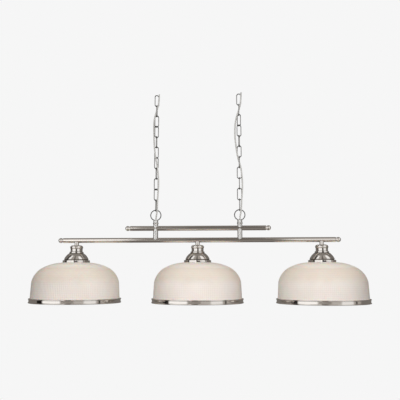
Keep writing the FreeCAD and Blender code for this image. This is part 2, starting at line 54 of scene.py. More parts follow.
# ---- Camera ---------------------------------------------------------------------------------------------------
# It stands 1.77 m in front of the light and a little right of its middle, at a height between the galleries and the
# rims. It is turned a little to the left and looks up.
MM = 0.001
CAMERA_PLACE = Vector((119.8 * MM, -1771.2 * MM, -568.3 * MM))
CAMERA_YAW, CAMERA_PITCH = 3.63, 7.46  # degrees to the left and up
CAMERA_LENS, CAMERA_SENSOR = 51.92, 36  # mm
CAMERA_NEAR = 0.05  # where its view starts, in metres

camera = bpy.data.objects.new("camera", bpy.data.cameras.new("camera"))
scene.collection.objects.link(camera)
camera.data.sensor_width = CAMERA_SENSOR
camera.data.lens = CAMERA_LENS
camera.data.clip_start = CAMERA_NEAR
turned_to_side = Matrix.Rotation(math.radians(CAMERA_YAW), 4, "Z")
tilted_up = Matrix.Rotation(math.radians(90 + CAMERA_PITCH), 4, "X")
camera.matrix_world = Matrix.Translation(CAMERA_PLACE) @ turned_to_side @ tilted_up
scene.camera = camera

# ---- Flexes ---------------------------------------------------------------------------------------------------
# One pale, clear-sheathed flex wanders down each chain, passes through a link here and there and goes through the
# eye ring into its boss. Each point says in mm how far it lies from the chain, to the right and back, and how deep.
CHAIN_PLACES = {"left": -130 * MM, "right": 130 * MM}
BOSS_TOP_Z = -398.5 * MM
FLEX_DIAMETER = 4.5 * MM
LAY_X, LAY_Y, LAY_Z = 1100, 700, 900  # radians per metre of the slanting bands in its sheath
FLEX_ROUTES = {
    "left": [
        (7.7, -3.5, -4),
        (7.1, -3.0, 14),
        (4.9, -2.6, 32),
        (0.0, -2.0, 50),
        (-5.5, -3.0, 66),
        (-8.2, -2.9, 84),
        (-9.0, -1.9, 102),
        (-8.6, -0.9, 120),
        (-7.9, -1.0, 140),
        (-7.0, -2.2, 158),
        (-5.4, -4.1, 176),
        (-3.1, -6.0, 192),
        (-0.2, -7.1, 208),
        (2.6, -7.0, 222),
        (5.0, -6.4, 237),
        (6.7, -6.1, 254),
        (8.1, -6.0, 272),
        (8.4, -6.0, 290),
        (7.4, -5.9, 308),
        (6.0, -5.7, 326),
        (5.3, -5.6, 344),
        (5.0, -5.2, 361),
        (3.9, -3.9, 374),
        (1.6, -1.7, 385),
        (0.0, 0.0, 396),
        (0.0, 0.0, 401.5),
    ],
    "right": [
        (7.5, -7.2, -4),
        (6.8, -6.4, 14),
        (5.3, -4.9, 31),
        (1.0, -1.8, 49),
        (-5.5, -1.3, 66),
        (-10.0, -1.2, 84),
        (-12.4, -1.5, 102),
        (-13.2, -2.1, 122),
        (-12.5, -2.9, 142),
        (-10.7, -3.7, 160),
        (-8.5, -4.3, 178),
        (-6.1, -4.1, 194),
        (-2.7, -2.2, 210),
        (1.5, -2.1, 223),
        (4.8, -4.9, 236),
        (6.8, -5.8, 252),
        (8.4, -5.7, 270),
        (9.2, -5.4, 288),
        (8.6, -5.2, 306),
        (7.2, -5.4, 324),
        (6.0, -5.5, 342),
        (5.2, -5.2, 360),
        (3.9, -3.9, 374),
        (1.6, -1.7, 385),
        (0.0, 0.0, 396),
        (0.0, 0.0, 401.5),
    ],
}


class Shade:
    """A socket of a material or of the world. Arithmetic on it adds Math nodes to its tree."""

    def __init__(self, tree, socket=None):
        self.tree = tree
        self.socket = socket

    def node(self, kind, settings=None, inputs=None, output=0):
        """A new node: its settings first, then the values or links of its sockets."""
        made = self.tree.nodes.new(kind)
        for name, value in (settings or {}).items():
            setattr(made, name, value)
        for name, value in (inputs or {}).items():
            if isinstance(value, Shade):
                self.tree.links.new(value.socket, made.inputs[name])
            else:
                made.inputs[name].default_value = value
        return Shade(self.tree, made.outputs[output])

    def math(self, operation, *values):
        return self.node("ShaderNodeMath", {"operation": operation}, dict(enumerate(values)))

    def __add__(self, other):
        return self.math("ADD", self, other)

    def __rsub__(self, other):
        return self.math("SUBTRACT", other, self)

    def __mul__(self, other):
        return self.math("MULTIPLY", self, other)

    def __neg__(self):
        return self.math("MULTIPLY", self, -1)

    __radd__ = __add__

    def rise(self, low, high):
        """0 below low and 1 above high, with a smooth rise between them."""
        settings = {"interpolation_type": "SMOOTHSTEP"}
        return self.node("ShaderNodeMapRange", settings, {"Value": self, "From Min": low, "From Max": high})

    def between(self, low, high, edge):
        """1 from low to high and 0 outside, with a smooth edge at both."""
        return self.rise(low - edge, low + edge) * (1 - self.rise(high - edge, high + edge))

    def part(self, axis):
        return self.node("ShaderNodeSeparateXYZ", None, {0: self}, axis)

    def blend(self, first, second):
        """first where this is 0, and second where it is 1."""
        made = self.node("ShaderNodeMix", {"data_type": "RGBA"}, {0: self}, 2)
        node = made.socket.node
        for socket, colour in ((node.inputs[6], first), (node.inputs[7], second)):
            if isinstance(colour, Shade):
                self.tree.links.new(colour.socket, socket)
            else:
                socket.default_value = (*colour, 1)
        return made


def new_material(name, base, roughness, metallic=0.0, **fixed):
    """A Principled material and the Shade to build its nodes with. fixed are sockets that are the same all over."""
    material = bpy.data.materials.new(name)
    material.use_nodes = True
    shader = material.node_tree.nodes["Principled BSDF"]
    shader.inputs["Base Color"].default_value = (*base, 1)
    shader.inputs["Roughness"].default_value = roughness
    shader.inputs["Metallic"].default_value = metallic
    for socket, value in fixed.items():
        shader.inputs[socket.replace("_", " ")].default_value = value
    return material, Shade(material.node_tree), shader


def drive(shader, socket, value):
    shader.id_data.links.new(value.socket, shader.inputs[socket])


def set_bump(shader, height, strength, distance):
    bump = height.node("ShaderNodeBump", None, {"Strength": strength, "Distance": distance, "Height": height})
    drive(shader, "Normal", bump)


# clear sheath over twisted silvery cores: the lay shows through as slanting pale and grey bands
flex_sheath, build, shader = new_material("flex_sheath", (0.62, 0.61, 0.59), 0.3, Coat_Weight=0.5, Coat_Roughness=0.15)
where = build.node("ShaderNodeTexCoord", output="Object")
lay = build.math("SINE", where.part("Z") * LAY_Z + where.part("X") * LAY_X + where.part("Y") * LAY_Y)
grain = build.node("ShaderNodeTexNoise", None, {"Vector": where, "Scale": 220, "Detail": 3})
shine = (lay * 0.5 + 0.5) * 0.75 + grain * 0.25
drive(shader, "Base Color", shine.blend((0.44, 0.43, 0.41), (0.74, 0.73, 0.71)))
drive(shader, "Roughness", 0.22 + grain * 0.18)
set_bump(shader, shine, 0.25, 0.3 * MM)

for side, chain_x in CHAIN_PLACES.items():
    route = [Vector((chain_x + x * MM, y * MM, -depth * MM)) for x, y, depth in FLEX_ROUTES[side]]
    route.reverse()
    line = bpy.data.curves.new(f"{side}_flex_line", "CURVE")
    line.dimensions = "3D"
    line.resolution_u = 10
    spline = line.splines.new("NURBS")
    spline.points.add(len(route) - 1)
    for point, place in zip(spline.points, route):
        point.co = (*place, 1)
    spline.order_u = 3
    spline.use_endpoint_u = True
    drawn = bpy.data.objects.new(f"{side}_flex_drawn", line)
    path = [vertex.co.copy() for vertex in bpy.data.meshes.new_from_object(drawn).vertices]
    line.bevel_depth = FLEX_DIAMETER / 2
    line.bevel_resolution = 5
    line.use_fill_caps = True
    tube = bpy.data.meshes.new_from_object(drawn)
    tube.name = f"{side}_flex_run"
    bpy.data.objects.remove(drawn)
    for face in tube.polygons:
        face.use_smooth = len(face.vertices) == 4
    tube.materials.clear()
    tube.materials.append(flex_sheath)
    flex = bpy.data.objects.new(f"{side}_flex_run", tube)
    scene.collection.objects.link(flex)
    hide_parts(f"{side}_flex")
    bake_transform(flex)

# ---- Studio ---------------------------------------------------------------------------------------------------
# A dim room with bright and black panels, which the polished metal shows as stripes. Matt surfaces are lit by a soft
# box beside the camera and a weaker light from above and behind. The backdrop is plain, and a pale floor fades into it.
BACKDROP = 0.922
FLOOR_Z = -2.1
FLOOR_FULL, FLOOR_RADIUS = 0.8, 1.5  # where it starts to fade, and where it ends
# each panel: from and to in degrees round from the front, lowest and highest elevation, edge softness, brightness
PANELS = {
    "dim back on the left": (-190, -92, -35, 80, 4, 0.2),
    "dim back on the right": (92, 190, -35, 80, 4, 0.2),
    "dim floor": (-60, 80, -90, -12, 6, 0.19),
    "dim floor all round": (-190, 190, -91, -40, 4, 0.17),
    "dim front": (-13, 7, -89, 84, 2, 0.24),
    "dark middle of the front": (-11, 5, -8, 80, 1.5, 0.17),
    "tall left panel": (-80, -46, 26, 66, 4, 1.1),
    "tall right panel": (46, 80, 26, 66, 4, 1.1),
    "left panel above the lamps": (-70, -18.5, -1, 26, 1.5, 1.15),
    "bright strip on the left": (-18.5, -10.8, 3, 22, 1.5, 3.2),
    "right panel above the lamps": (12, 72, 1, 26, 1.5, 1.1),
    "bright strip on the right": (5, 12, 1, 22, 1.5, 2.1),
    "middle below the lamps": (-18.5, 12, -12, -1, 2, 0.33),
    "left panel below the lamps": (-71, -21.5, -30, -1, 2.5, 1.25),
    "right fill": (12, 36, -30, 1, 3, 0.55),
    "right panel below the lamps": (36, 68, -30, 1, 3, 0.95),
    "pale line at the lamps' height": (-19, -5, -1, 4, 0.7, 1.2),
    "dark line at the lamps' height": (-5, 25, -0.5, 4, 0.7, 0.08),
    "dim top": (-180, 180, 74, 91, 4, 0.27),
    "left flag": (-92, -72.5, -55, 60, 2, 0.01),
    "right flag": (75, 80, -45, 30, 1.5, 0.05),
}
ROOM_LEVEL = 0.44
WARM_BELOW, WHITE_ABOVE = 0.3, 0.9  # levels of the room: its dim parts are warmer
MATT_ALL_ROUND, MATT_FROM_ABOVE, MATT_FROM_BEHIND = 0.06, 0.64, 0.8
SOFT_BOX_SIZE = 0.5
SOFT_BOX_POWER = 22.8  # watts
SOFT_BOX_RISE = 0.4  # over the camera
SOFT_BOX_AIM_Z = -0.6

world = bpy.data.worlds.new("studio")
scene.world = world
world.use_nodes = True
world.node_tree.nodes.clear()
sky = Shade(world.node_tree)
towards = sky.node("ShaderNodeTexCoord", output="Generated")
round_from_front = sky.math("ARCTAN2", towards.part("X"), -towards.part("Y")) * math.degrees(1)
elevation = sky.math("ARCSINE", towards.part("Z")) * math.degrees(1)
level = sky.node("ShaderNodeValue")
level.socket.default_value = ROOM_LEVEL
for start, end, lowest, highest, softness, brightness in PANELS.values():
    mask = round_from_front.between(start, end, softness) * elevation.between(lowest, highest, softness)
    level = level + (brightness - level) * mask
tint = level.rise(WARM_BELOW, WHITE_ABOVE).blend((1.0, 0.93, 0.86), (1.0, 1.0, 1.0))
room = sky.node("ShaderNodeBackground", None, {"Color": tint, "Strength": level})
from_front = sky.math("MAXIMUM", -towards.part("Y"), 0)
from_behind = sky.math("MAXIMUM", towards.part("Y"), 0)
from_above = sky.math("MAXIMUM", towards.part("Z"), 0)
matt_level = MATT_ALL_ROUND + from_above * MATT_FROM_ABOVE + from_behind * MATT_FROM_BEHIND
matt_tint = from_front.blend((1.0, 0.97, 0.88), (1.0, 1.0, 1.0))
matt_light = sky.node("ShaderNodeBackground", None, {"Color": matt_tint, "Strength": matt_level})
backdrop = sky.node("ShaderNodeBackground", None, {"Color": (1, 1, 1, 1), "Strength": BACKDROP})
glossy_ray = sky.node("ShaderNodeLightPath", output="Is Glossy Ray")
seen_ray = sky.node("ShaderNodeLightPath", output="Is Camera Ray")
through_ray = sky.node("ShaderNodeLightPath", output="Is Transmission Ray")
lit = sky.node("ShaderNodeMixShader", None, {0: glossy_ray, 1: matt_light, 2: room})
shown = sky.node("ShaderNodeMixShader", None, {0: sky.math("MAXIMUM", seen_ray, through_ray), 1: lit, 2: backdrop})
out = world.node_tree.nodes.new("ShaderNodeOutputWorld")
world.node_tree.links.new(shown.socket, out.inputs["Surface"])

# a soft box beside the camera lights the matt surfaces; the metal shows only the room
soft_box = bpy.data.lights.new("front_soft_box", "AREA")
soft_box.shape = "DISK"
soft_box.size = SOFT_BOX_SIZE
soft_box.energy = SOFT_BOX_POWER
front_light = bpy.data.objects.new("front_soft_box", soft_box)
front_light.location = CAMERA_PLACE + Vector((0, 0, SOFT_BOX_RISE))
soft_box_aim = Vector((0, 0, SOFT_BOX_AIM_Z)) - front_light.location
front_light.rotation_euler = soft_box_aim.to_track_quat("-Z", "Y").to_euler()
scene.collection.objects.link(front_light)
for kind in ("camera", "glossy", "transmission"):
    setattr(front_light, f"visible_{kind}", False)

floor_paint, build, shader = new_material("floor_paint", (0.95, 0.95, 0.95), 0.6)
where = build.node("ShaderNodeTexCoord", output="Object")
mottle = build.node("ShaderNodeTexNoise", None, {"Vector": where, "Scale": 3, "Detail": 4})
drive(shader, "Base Color", mottle.blend((0.94, 0.94, 0.94), (0.96, 0.96, 0.96)))
flat = build.node("ShaderNodeVectorMath", {"operation": "MULTIPLY"}, {0: where, 1: (1, 1, 0)})
from_middle = build.node("ShaderNodeVectorMath", {"operation": "LENGTH"}, {0: flat}, "Value")
drive(shader, "Alpha", 1 - from_middle.rise(FLOOR_FULL, FLOOR_RADIUS))
bm = bmesh.new()
bmesh.ops.create_circle(bm, cap_ends=True, segments=96, radius=FLOOR_RADIUS, matrix=Matrix.Translation((0, 0, FLOOR_Z)))
floor_mesh = bpy.data.meshes.new("floor")
bm.to_mesh(floor_mesh)
bm.free()
floor_mesh.materials.append(floor_paint)
floor = bpy.data.objects.new("floor", floor_mesh)
scene.collection.objects.link(floor)
floor.visible_glossy = False

# ---- Chain links ----------------------------------------------------------------------------------------------
# Long links of round nickel-plated wire, each bent to shape and closed with a butt joint in one side.
# Eleven hang in each chain, and none is turned quite like the next.
LINK_PITCH = 33.5 * MM
LINK_WIRE = 1.4 * MM  # radius
LINK_CROWN = 6.5 * MM  # radius of the wire's centreline
LINK_INSIDE = 33.75 * MM
LINK_TURNS = {
    "left": [30, 90, 162, 38, 90, 162, 38, 90, 162, 38, 90],
    "right": [0, 90, 140, 20, 80, 160, 87, 0, 90, 0, 90],
}
BUTT_JOINT = ((-0.35, 1.0), (-0.15, 0.84), (0.15, 0.84), (0.35, 1.0))  # mm from the middle, and share of the wire
SHARP = 35  # degrees between two faces, over which their edge is broken
CREASE = 25  # and over which they are shaded apart
# painted shade on the chain: full this close to where two links meet, and none beyond the second distance
CONTACT_SHADE_WITHIN, CONTACT_SHADE_FADES_BY = 1.5 * MM, 5 * MM  # of where two links rub


def nickel(name, base, roughness, wear_scale, stretch=(1, 1, 1)):
    """Polished nickel plate: warm grey, with faint polishing lines and a little handling haze."""
    material, build, shader = new_material(name, base, roughness, 1.0)
    where = build.node("ShaderNodeTexCoord", output="Object")
    stretched = build.node("ShaderNodeMapping", None, {"Vector": where, "Scale": stretch})
    lines = build.node("ShaderNodeTexNoise", None, {"Vector": stretched, "Scale": wear_scale, "Detail": 4})
    haze = build.node("ShaderNodeTexNoise", None, {"Vector": where, "Scale": 28, "Detail": 3})
    drive(shader, "Roughness", roughness * 0.6 + lines * (roughness * 0.5) + haze.rise(0.45, 0.75) * 0.04)
    drive(shader, "Base Color", haze.blend(tuple(c * 0.96 for c in base), tuple(c * 1.03 for c in base)))
    set_bump(shader, lines, 0.08, 0.02 * MM)
    return material


def finished(name, bm, material, body, slot, *nodes, soft_edge=0.15 * MM):
    """The piece made from bm, with its sharp edges broken by soft_edge, riding on body in place of its CAD nodes."""
    if soft_edge:
        hard = [e for e in bm.edges if e.is_manifold and e.calc_face_angle() > math.radians(SHARP)]
        bmesh.ops.bevel(
            bm, geom=hard, offset=soft_edge, segments=1, affect="EDGES", profile=0.5, material=-1, clamp_overlap=True
        )
    for face in bm.faces:
        face.smooth = True
    for edge in bm.edges:
        edge.smooth = not (edge.is_manifold and edge.calc_face_angle() > math.radians(CREASE))
    mesh = bpy.data.meshes.new(name)
    bm.to_mesh(mesh)
    bm.free()
    mesh.materials.append(material)
    made = bpy.data.objects.new(name, mesh)
    scene.collection.objects.link(made)
    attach(made, body)
    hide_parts(*nodes)
    return made


def edges_of(geometry):
    return [item for item in geometry if isinstance(item, bmesh.types.BMEdge)]


def verts_of(geometry):
    return [item for item in geometry if isinstance(item, bmesh.types.BMVert)]


def drawn_on(bm, ring, lift, girth=1.0):
    """The ring's edges extruded by lift, and the new ring made wider or narrower."""
    ring = bmesh.ops.extrude_edge_only(bm, edges=edges_of(ring))["geom"]
    verts = verts_of(ring)
    bmesh.ops.translate(bm, verts=verts, vec=lift)
    middle = sum((v.co for v in verts), Vector()) / len(verts)
    bmesh.ops.scale(bm, verts=verts, vec=(girth, girth, 1), space=Matrix.Translation(-middle))
    kept = set(verts)
    return verts + [e for e in edges_of(ring) if e.verts[0] in kept and e.verts[1] in kept]


# painted shade: the chain's plate is coloured much darker than the other nickel, for the dim look it has
chain_nickel = nickel("chain_nickel_wire", (0.3, 0.295, 0.285), 0.2, 300)
# painted shade where the links rub on each other: the plate is darker round each contact
build = Shade(chain_nickel.node_tree)
height = build.node("ShaderNodeTexCoord", output="Object").part("Z")
from_contact = build.math("PINGPONG", height + LINK_WIRE, LINK_PITCH / 2)
contact_painted_shade = from_contact.rise(CONTACT_SHADE_WITHIN, CONTACT_SHADE_FADES_BY).blend((0.14, 0.138, 0.13), (0.34, 0.335, 0.325))
drive(chain_nickel.node_tree.nodes["Principled BSDF"], "Base Color", contact_painted_shade)
chain_bodies = {1: "hooked_links", 2: "{side}_second_link", 11: "{side}_last_link"}
for side, turns in LINK_TURNS.items():
    for number, turn in enumerate(turns, 1):
        top = -(number - 1) * LINK_PITCH
        upper = top + LINK_WIRE - LINK_CROWN
        lower = top - LINK_INSIDE - LINK_WIRE + LINK_CROWN
        bm = bmesh.new()
        start = Matrix.Translation((-LINK_CROWN, 0, upper))
        first = bmesh.ops.create_circle(bm, segments=18, radius=LINK_WIRE, matrix=start)["verts"]
        first_ring = list({e for v in first for e in v.link_edges})
        bent = {"axis": (0, 1, 0), "angle": math.pi, "steps": 14}
        ring = bmesh.ops.spin(bm, geom=first + first_ring, cent=(0, 0, upper), **bent)["geom_last"]
        ring = drawn_on(bm, ring, (0, 0, lower - upper))
        ring = bmesh.ops.spin(bm, geom=ring, cent=(0, 0, lower), **bent)["geom_last"]
        risen = lower
        girth_before = 1.0
        for offset, girth in BUTT_JOINT:
            height = (upper + lower) / 2 + offset * MM
            ring = drawn_on(bm, ring, (0, 0, height - risen), girth / girth_before)
            risen, girth_before = height, girth
        bmesh.ops.bridge_loops(bm, edges=edges_of(ring) + first_ring)
        bmesh.ops.recalc_face_normals(bm, faces=bm.faces[:])
        placed = Matrix.Translation((CHAIN_PLACES[side], 0, 0)) @ Matrix.Rotation(math.radians(turn), 4, "Z")
        bmesh.ops.transform(bm, matrix=placed, verts=bm.verts[:])
        body = chain_bodies.get(number, "{side}_chain").format(side=side)
        node = f"{side}_chain_link_{number:02d}"
        finished(f"{node}_bent", bm, chain_nickel, body, "chain_nickel", node, soft_edge=0)

# ---- Hanging loops --------------------------------------------------------------------------------------------
# A cast eye ring on a round boss, plated as one piece. The boss is drilled from above for the flex.
BAR_Z = -460.1 * MM
EYE_Z = -383.0 * MM
EYE_RADIUS = 16 * MM
EYE_WIRE = 1.5 * MM
EYE_GAP = 12.5  # degrees that each end of the ring stops short of the flex's hole
NECK = 7.5 * MM  # radius of the boss and of the ferrule's foot
ROD_HOLE = 5.15 * MM
BEAD_TOP_Z = BAR_Z + 53.6 * MM
BOSS_ROUNDING = 2 * MM
FLEX_HOLE = 3.5 * MM
FLEX_HOLE_DEPTH = 3 * MM
SEAT = 0.05 * MM  # gap between two parts that bear on each other
MERGED = 0.001 * MM  # vertices this close to each other are one
POLISHED, SATIN = (0.78, 0.74, 0.70), (0.68, 0.675, 0.66)  # colours of the plate


def arc_sweep(start, via, end):
    """The centre and the signed angle of the arc through three points of the XZ plane."""
    first, second, third = (complex(point.x, point.z) for point in (start, via, end))
    ratio = (third - first) / (second - first)
    centre = first - (first - second) * (ratio - abs(ratio) ** 2) / (2j * ratio.imag)
    half_way = ((second - centre) / (first - centre)).conjugate()
    whole = ((third - centre) / (first - centre)).conjugate()
    angle = math.atan2(whole.imag, whole.real)
    if angle * math.atan2(half_way.imag, half_way.real) < 0:
        angle -= math.copysign(math.tau, angle)
    return Vector((centre.real, 0, centre.imag)), angle


def outlined(bm, *steps, arc_steps=8, closed=True):
    """A turned piece's outline in the XZ plane.

    A step is one (radius, height) point, or a pair of them: an arc's middle and its end.
    """

    def place(point):
        return Vector((point[0], 0, point[1]))

    first = here = bm.verts.new(place(steps[0]))
    for step in steps[1:]:
        if isinstance(step[0], tuple):
            centre, angle = arc_sweep(here.co, place(step[0]), place(step[1]))
            swept = bmesh.ops.spin(bm, geom=[here], cent=centre, axis=(0, 1, 0), angle=angle, steps=arc_steps)
            here = verts_of(swept["geom_last"])[0]
        else:
            here = verts_of(bmesh.ops.extrude_vert_indiv(bm, verts=[here])["verts"])[0]
            here.co = place(step)
    if closed:
        bm.edges.new((here, first))


def turned(bm, steps):
    """Turns the outline about the Z axis, and closes its poles."""
    outline = bm.verts[:] + bm.edges[:]
    bmesh.ops.spin(bm, geom=outline, cent=(0, 0, 0), axis=(0, 0, 1), angle=math.tau, steps=steps, use_merge=True)
    bmesh.ops.remove_doubles(bm, verts=bm.verts[:], dist=MERGED)
    bmesh.ops.recalc_face_normals(bm, faces=bm.faces[:])


def moved(bm, x):
    bmesh.ops.translate(bm, verts=bm.verts[:], vec=(x, 0, 0))


turned_nickel = nickel("turned_nickel", POLISHED, 0.08, 60, (1, 1, 14))
satin_nickel = nickel("satin_nickel", SATIN, 0.34, 60, (1, 1, 14))
# the same plate, with painted shade on the ring: it is coloured far darker than the boss
loop_nickel = nickel("loop_nickel", SATIN, 0.3, 120)
build = Shade(loop_nickel.node_tree)
above_boss = build.node("ShaderNodeTexCoord", output="Object").part("Z").rise(BOSS_TOP_Z - 2 * MM, BOSS_TOP_Z + 3 * MM)
ring_painted_dark = above_boss.blend(SATIN, (0.17, 0.168, 0.162))
drive(loop_nickel.node_tree.nodes["Principled BSDF"], "Base Color", ring_painted_dark)
for side, chain_x in CHAIN_PLACES.items():
    boss = bmesh.new()
    slope = 1 - math.sqrt(0.5)
    half_way_round = (NECK - BOSS_ROUNDING * slope, BOSS_TOP_Z - BOSS_ROUNDING * slope)
    outlined(
        boss,
        (ROD_HOLE, BEAD_TOP_Z + SEAT),
        (NECK, BEAD_TOP_Z + SEAT),
        (NECK, BOSS_TOP_Z - BOSS_ROUNDING),
        (half_way_round, (NECK - BOSS_ROUNDING, BOSS_TOP_Z)),
        (FLEX_HOLE, BOSS_TOP_Z),
        (FLEX_HOLE, BOSS_TOP_Z - FLEX_HOLE_DEPTH),
        (ROD_HOLE, BOSS_TOP_Z - FLEX_HOLE_DEPTH),
    )
    turned(boss, 48)
    moved(boss, chain_x)
    eye = bmesh.new()
    low_end = Matrix.Rotation(math.radians(EYE_GAP), 4, (0, -1, 0))
    start = Matrix.Translation((chain_x, 0, EYE_Z)) @ low_end @ Matrix.Translation((0, 0, -EYE_RADIUS))
    start = start @ Matrix.Rotation(math.radians(90), 4, "Y")
    ring = bmesh.ops.create_circle(eye, cap_ends=True, segments=20, radius=EYE_WIRE, matrix=start)["verts"]
    swept = bmesh.ops.spin(
        eye,
        geom=ring + list({e for v in ring for e in v.link_edges}),
        cent=(chain_x, 0, EYE_Z),
        axis=(0, -1, 0),
        angle=math.tau - math.radians(2 * EYE_GAP),
        steps=72,
    )
    bmesh.ops.contextual_create(eye, geom=edges_of(swept["geom_last"]))
    bmesh.ops.recalc_face_normals(eye, faces=eye.faces[:])
    eye_mesh = bpy.data.meshes.new("eye")
    eye.to_mesh(eye_mesh)
    eye.free()
    boss.from_mesh(eye_mesh)
    bpy.data.meshes.remove(eye_mesh)
    finished(f"{side}_eye_and_boss", boss, loop_nickel, "fixture", "nickel", f"{side}_hanging_loop")

# ---- Ferrules -------------------------------------------------------------------------------------------------
# A turned nickel foot under each boss, coped to the upper bar, with a round bead at its top.
UPPER_BAR_Z = BAR_Z + 36.6 * MM
BAR_RADIUS = 7.5 * MM
BEAD_BOTTOM_Z = BAR_Z + 49.6 * MM
BEAD_RADIUS = 9 * MM
SAME_LEVEL = 0.01 * MM


def coped(bm, level, bar_z, side):
    """Moves the ring of vertices at that level onto the bar's round: side is 1 on top of the bar and -1 under it."""
    seat = BAR_RADIUS + SEAT
    for vertex in bm.verts:
        if abs(vertex.co.z - level) < SAME_LEVEL:
            vertex.co.z = bar_z + side * math.sqrt(seat**2 - vertex.co.y**2)


for side, chain_x in CHAIN_PLACES.items():
    bm = bmesh.new()
    foot = UPPER_BAR_Z + BAR_RADIUS
    outlined(
        bm,
        (ROD_HOLE, foot),
        (NECK, foot),
        (NECK, BEAD_BOTTOM_Z),
        ((BEAD_RADIUS, (BEAD_TOP_Z + BEAD_BOTTOM_Z) / 2), (NECK, BEAD_TOP_Z)),
        (ROD_HOLE, BEAD_TOP_Z),
    )
    turned(bm, 64)
    coped(bm, foot, UPPER_BAR_Z, 1)
    moved(bm, chain_x)
    finished(f"{side}_turned_foot", bm, satin_nickel, "fixture", "nickel", f"{side}_ferrule")

# ---- Bars -----------------------------------------------------------------------------------------------------
# Two drawn and polished nickel tubes, open at their ends for the caps' spigots.
BAR_WALL = 1.2 * MM
CAP_LENGTH = 17 * MM
BARS = {"lower_bar": (870 * MM, BAR_Z), "upper_bar": (450 * MM, UPPER_BAR_Z)}

bar_nickel = nickel("bar_nickel", POLISHED, 0.06, 90, (0.05, 1, 1))
along_bar = Matrix.Rotation(math.radians(90), 4, "Y")
for node, (length, bar_z) in BARS.items():
    half = length / 2 - CAP_LENGTH
    bm = bmesh.new()
    outlined(bm, (BAR_RADIUS - BAR_WALL, -half), (BAR_RADIUS, -half), (BAR_RADIUS, half), (BAR_RADIUS - BAR_WALL, half))
    turned(bm, 96)
    bmesh.ops.transform(bm, matrix=Matrix.Translation((0, 0, bar_z)) @ along_bar, verts=bm.verts[:])
    finished(f"{node}_tube", bm, bar_nickel, "fixture", "nickel", node, soft_edge=0.1 * MM)

# ---- Spacers --------------------------------------------------------------------------------------------------
# A short tube between the two bars, coped at both ends and clamped by the rod that runs through it.
for side, chain_x in CHAIN_PLACES.items():
    bm = bmesh.new()
    low, high = BAR_Z + BAR_RADIUS, UPPER_BAR_Z - BAR_RADIUS
    outlined(bm, (ROD_HOLE, low), (NECK, low), (NECK, high), (ROD_HOLE, high))
    turned(bm, 64)
    coped(bm, low, BAR_Z, 1)
    coped(bm, high, UPPER_BAR_Z, -1)
    moved(bm, chain_x)
    finished(f"{side}_coped_spacer", bm, satin_nickel, "fixture", "nickel", f"{side}_spacer")

# ---- End caps -------------------------------------------------------------------------------------------------
# A solid turned ball with a groove behind it and a flare that meets the tube; a spigot holds it in the bore.
CAP_BALL = 7.75 * MM
CAP_BALL_END = 10.9 * MM  # from the tip
CAP_GROOVE = 5.8 * MM
CAP_GROOVE_START, CAP_GROOVE_END = 11.4 * MM, 12.2 * MM
CAP_FLARE_END = 16.2 * MM
CAP_FLARE_RISE = 0.51 * MM  # at the middle of the flare
SPIGOT = 6.15 * MM
SPIGOT_LENGTH = 14 * MM

for node, (length, bar_z) in BARS.items():
    for side, sign in (("left", -1), ("right", 1)):
        on_ball = CAP_BALL * math.sqrt(0.5)
        ball_end = math.sqrt(CAP_BALL**2 - (CAP_BALL_END - CAP_BALL) ** 2)
        bm = bmesh.new()
        outlined(
            bm,
            (0, 0),
            ((on_ball, -CAP_BALL + on_ball), (ball_end, -CAP_BALL_END)),
            (CAP_GROOVE, -CAP_GROOVE_START),
            (CAP_GROOVE, -CAP_GROOVE_END),
            ((CAP_GROOVE + CAP_FLARE_RISE, -(CAP_GROOVE_END + CAP_FLARE_END) / 2), (BAR_RADIUS, -CAP_FLARE_END)),
            (BAR_RADIUS, -CAP_LENGTH + SEAT),
            (SPIGOT, -CAP_LENGTH + SEAT),
            (SPIGOT, -CAP_LENGTH - SPIGOT_LENGTH),
            (0, -CAP_LENGTH - SPIGOT_LENGTH),
            arc_steps=16,
            closed=False,
        )
        turned(bm, 64)
        laid = Matrix.Translation((sign * length / 2, 0, bar_z)) @ Matrix.Rotation(math.radians(90 * sign), 4, "Y")
        bmesh.ops.transform(bm, matrix=laid, verts=bm.verts[:])
        finished(f"{node}_ball_{side}", bm, turned_nickel, "fixture", "nickel", f"{node}_cap_{side}")

# ---- Stubs ----------------------------------------------------------------------------------------------------
# A short sleeve under the lamp bar above each gallery, coped to the bar.
LAMP_PLACES = {"left": -377 * MM, "middle": 0.0, "right": 377 * MM}
GALLERY_TOP_Z = -475.5 * MM
STUB_RADIUS = 6.5 * MM

for side, lamp_x in LAMP_PLACES.items():
    bm = bmesh.new()
    top = BAR_Z - BAR_RADIUS
    foot = GALLERY_TOP_Z + SEAT
    outlined(bm, (ROD_HOLE, foot), (STUB_RADIUS, foot), (STUB_RADIUS, top), (ROD_HOLE, top))
    turned(bm, 64)
    coped(bm, top, BAR_Z, -1)
    moved(bm, lamp_x)
    finished(f"{side}_sleeve", bm, turned_nickel, "fixture", "nickel", f"{side}_stub")

# ---- Galleries ------------------------------------------------------------------------------------------------
# Cups spun from thin brass sheet and plated: a round bead, a neck, a raised band, a bell and a stepped flange
# that sits round the glass's crown.
GALLERY_WALL = 1 * MM
GALLERY_GROOVE = 2.6 * MM
GALLERY_HEIGHT = 53.2 * MM
# levels of the profile below the gallery's top
BEAD_ARCS, BEAD_MIDDLE = (2.275 * MM, 8.45 * MM), 6.5 * MM
NECK_TOP, NECK_END, NECK_FOOT = 10.4 * MM, 19.4 * MM, 20.4 * MM
BELL_TOP, BELL_FOOT = 24.4 * MM, 46 * MM
# where the bell's arc passes, as shares of its width from its foot and of its height from its top
BELL_ARC_IN, BELL_ARC_DOWN = 0.33, 0.43
# how far the other arcs pass inside their corners, as shares of their widths
BEAD_UPPER_ARC_IN, BEAD_LOWER_ARC_IN, STEP_ARC_IN = 0.22, 0.2, 0.3
# rings close to a corner that keep the shading of the wall beside it even: below the top, and below the step
NECK_RING, FLANGE_RING = 10.9 * MM, 0.4 * MM
CUP_CORNER = 3 * MM
